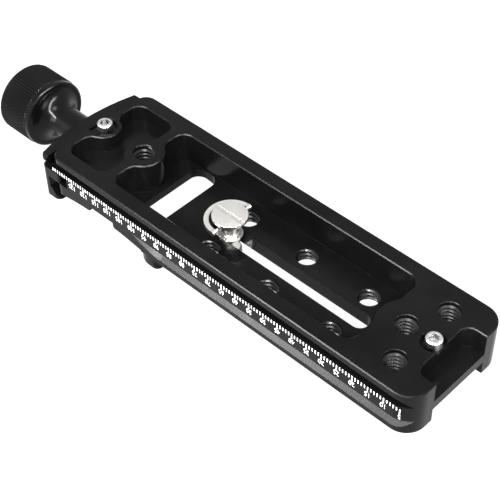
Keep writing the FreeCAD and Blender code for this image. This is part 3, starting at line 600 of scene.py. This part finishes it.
def scale_ticks(side):
    """A line at every millimetre. Over the jaw's slot there is no room for a long one."""
    blocks = []
    for reading in range(SCALE_FIRST, SCALE_LAST + 1):
        x = scale_x(reading, side)
        is_long = reading % LONG_TICK_STEP == 0 and x > TONGUE_SLOT_END_X
        blocks.append(tick_block(x, side, TICK_TOP_Z, LONG_TICK_H if is_long else SHORT_TICK_H))
    return joined(blocks)


def figure_mesh(text):
    """Outline of a number as a thin solid, in millimetres, centred on its own middle."""
    curve = bpy.data.curves.new("figure", "FONT")
    curve.body = text
    curve.size = FIGURE_H / 0.7
    curve.align_x = "CENTER"
    curve.extrude = PAINT_PROUD
    curve.resolution_u = 3
    curve.offset = -0.01
    writer = bpy.data.objects.new("figure", curve)
    bpy.context.scene.collection.objects.link(writer)
    bpy.context.view_layer.update()
    mesh = bpy.data.meshes.new_from_object(writer.evaluated_get(bpy.context.evaluated_depsgraph_get()))
    bpy.data.objects.remove(writer)
    bpy.data.curves.remove(curve)
    return mesh


def scale_figures(side):
    """Every fifth number. Its top points down, so it reads from the other side of the rail."""
    parts = []
    for reading in range(SCALE_FIRST, LAST_FIGURE + 1, LONG_TICK_STEP):
        x = scale_x(reading, side)
        if x < TONGUE_SLOT_END_X:
            continue
        mesh = figure_mesh(str(reading))
        vertices = []
        for vertex in mesh.vertices:
            across = vertex.co.x * FIGURE_SQUEEZE
            up = vertex.co.y - FIGURE_H / 2
            vertices.append(at(x + side * across, side * (RAIL_HALF_WIDTH + vertex.co.z),
                               FIGURE_MIDDLE_Z - up))
        parts.append((vertices, [tuple(p.vertices) for p in mesh.polygons]))
        bpy.data.meshes.remove(mesh)
    return joined(parts)


def millimetre_scale():
    for side, name in ((-1, "near"), (1, "far")):
        ticks = mesh_from(f"scale_ticks_{name}", *scale_ticks(side))
        mesh_piece(f"scale_ticks_{name}", ticks, SCALE_WHITE, "rail")
        figures = mesh_from(f"scale_figures_{name}", *scale_figures(side))
        mesh_piece(f"scale_figures_{name}", figures, SCALE_WHITE, "rail")


# ---- camera and light ------------------------------------------------------------------------------------
CAMERA_PLACE = Vector((0.18768, -0.17876, 0.26060))
CAMERA_AZIMUTH = math.radians(44.42)
CAMERA_ELEVATION = math.radians(45.22)
CAMERA_ROLL = math.radians(-1.06)
CAMERA_FOCAL_PIXELS = 1288.7
PHOTO_PIXELS = 500


def camera():
    forward = Vector((-math.cos(CAMERA_ELEVATION) * math.sin(CAMERA_AZIMUTH),
                      math.cos(CAMERA_ELEVATION) * math.cos(CAMERA_AZIMUTH),
                      -math.sin(CAMERA_ELEVATION)))
    right = forward.cross(Vector((0, 0, 1))).normalized()
    up = right.cross(forward)
    image_right = math.cos(CAMERA_ROLL) * right + math.sin(CAMERA_ROLL) * up
    image_up = math.cos(CAMERA_ROLL) * up - math.sin(CAMERA_ROLL) * right
    data = bpy.data.cameras.new("camera")
    data.sensor_width = 36.0
    data.lens = CAMERA_FOCAL_PIXELS / PHOTO_PIXELS * data.sensor_width
    data.clip_start = 0.01
    data.clip_end = 20.0
    shooter = bpy.data.objects.new("camera", data)
    shooter.matrix_world = (Matrix.Translation(CAMERA_PLACE)
                            @ Matrix((image_right, image_up, -forward)).transposed().to_4x4())
    bpy.context.scene.collection.objects.link(shooter)
    bpy.context.scene.camera = shooter


LAMP_AIM = Vector((0, 0, 0.01))


def softbox(name, direction, distance, size, power):
    """An area lamp that stands off in a direction and faces the part."""
    data = bpy.data.lights.new(name, "AREA")
    data.shape = "RECTANGLE"
    data.size, data.size_y = size
    data.energy = power
    lamp = bpy.data.objects.new(name, data)
    out = Vector(direction).normalized()
    lamp.location = LAMP_AIM + out * distance
    lamp.rotation_mode = "QUATERNION"
    lamp.rotation_quaternion = out.to_track_quat("Z", "Y")
    bpy.context.scene.collection.objects.link(lamp)


# The two strip lamps hang between these places. The rounded edges mirror them to the camera as bright lines.
STRIP_LEFT = Vector((-0.62, -0.88, 0.58))
STRIP_FRONT = Vector((0.62, -0.62, 0.86))
STRIP_RIGHT = Vector((0.88, 0.62, 0.60))


def strip_light(name, start, end, width, power):
    """A long thin lamp between two places, which faces the part."""
    data = bpy.data.lights.new(name, "AREA")
    data.shape = "RECTANGLE"
    data.size, data.size_y = (end - start).length, width
    data.energy = power
    lamp = bpy.data.objects.new(name, data)
    middle = (start + end) / 2
    out = middle.normalized()
    side = out.cross(end - start).normalized()
    facing = Matrix((side.cross(out), side, out)).transposed().to_4x4()
    lamp.matrix_world = Matrix.Translation(middle) @ facing
    bpy.context.scene.collection.objects.link(lamp)


def shown_white(nodes, links):
    """1 for rays that should see a plain white background."""
    path = nodes.new("ShaderNodeLightPath")
    total = path.outputs["Is Camera Ray"]
    for other in ("Is Glossy Ray", "Is Transmission Ray"):
        add = nodes.new("ShaderNodeMath")
        add.operation = "MAXIMUM"
        links.new(total, add.inputs[0])
        links.new(path.outputs[other], add.inputs[1])
        total = add.outputs[0]
    return total


def studio():
    world = bpy.data.worlds.new("studio")
    bpy.context.scene.world = world
    world.use_nodes = True
    nodes, links = world.node_tree.nodes, world.node_tree.links
    nodes.clear()
    ambient = nodes.new("ShaderNodeBackground")
    ambient.inputs["Color"].default_value = (0.9, 0.95, 1.0, 1)
    ambient.inputs["Strength"].default_value = 0.25
    white = nodes.new("ShaderNodeBackground")
    white.inputs["Color"].default_value = (1, 1, 1, 1)
    white.inputs["Strength"].default_value = 1.0
    mix = nodes.new("ShaderNodeMixShader")
    links.new(shown_white(nodes, links), mix.inputs["Fac"])
    links.new(ambient.outputs[0], mix.inputs[1])
    links.new(white.outputs[0], mix.inputs[2])
    output = nodes.new("ShaderNodeOutputWorld")
    links.new(mix.outputs[0], output.inputs["Surface"])
    softbox("key", (-0.35, -0.90, 0.30), 0.8, (0.5, 0.35), 6.0)
    softbox("overhead", (0.18, -0.17, 0.95), 1.0, (0.34, 0.34), 7.0)
    softbox("end_fill", (1.0, -0.1, 0.25), 0.8, (0.35, 0.35), 3.0)
    strip_light("near_strip", STRIP_LEFT, STRIP_FRONT, 0.09, 60.0)
    strip_light("end_strip", STRIP_FRONT, STRIP_RIGHT, 0.07, 40.0)


FLOOR_GLOW = 0.9                    # the rest is diffuse, so that the part keeps its shadow


def floor():
    mesh = bpy.data.meshes.new("floor")
    half = 6.0
    corners = [(-half, -half, 0), (half, -half, 0), (half, half, 0), (-half, half, 0)]
    mesh.from_pydata(corners, [], [(0, 1, 2, 3)])
    plane = bpy.data.objects.new("floor", mesh)
    bpy.context.scene.collection.objects.link(plane)
    material = bpy.data.materials.new("floor_white")
    material.use_nodes = True
    nodes, links = material.node_tree.nodes, material.node_tree.links
    nodes.clear()
    diffuse = nodes.new("ShaderNodeBsdfDiffuse")
    diffuse.inputs["Color"].default_value = (0.85, 0.85, 0.85, 1)
    glow = nodes.new("ShaderNodeEmission")
    glow.inputs["Color"].default_value = (1, 1, 1, 1)
    glow.inputs["Strength"].default_value = 1.0
    share = nodes.new("ShaderNodeMath")
    share.operation = "MULTIPLY"
    share.inputs[1].default_value = FLOOR_GLOW
    links.new(shown_white(nodes, links), share.inputs[0])
    mix = nodes.new("ShaderNodeMixShader")
    links.new(share.outputs[0], mix.inputs["Fac"])
    links.new(diffuse.outputs[0], mix.inputs[1])
    links.new(glow.outputs[0], mix.inputs[2])
    output = nodes.new("ShaderNodeOutputMaterial")
    links.new(mix.outputs[0], output.inputs["Surface"])
    mesh.materials.append(material)


NODE_MATERIALS = {
    "rail_body": BODY_BLACK, "moving_jaw": BODY_BLACK, "knob": KNOB_BLACK,
    "lead_screw": STEEL, "knob_grub_screw": STEEL, "guide_pin_near": STEEL, "guide_pin_far": STEEL,
    "stop_screw_knob_end": STEEL, "stop_screw_free_end": STEEL,
    "jaw_spring_near": SPRING_STEEL, "jaw_spring_far": SPRING_STEEL, "thrust_washer": BRASS,
    "camera_screw": NICKEL, "camera_screw_washer": NICKEL, "d_ring": NICKEL,
}

for node_name, node_material in NODE_MATERIALS.items():
    dress(node_name, node_material)
knurled_knob()
threaded_lead_screw()
camera_screw()
jaw_springs()
hole_threads()
millimetre_scale()
camera()
studio()
floor()
bpy.context.scene.view_settings.view_transform = "Standard"
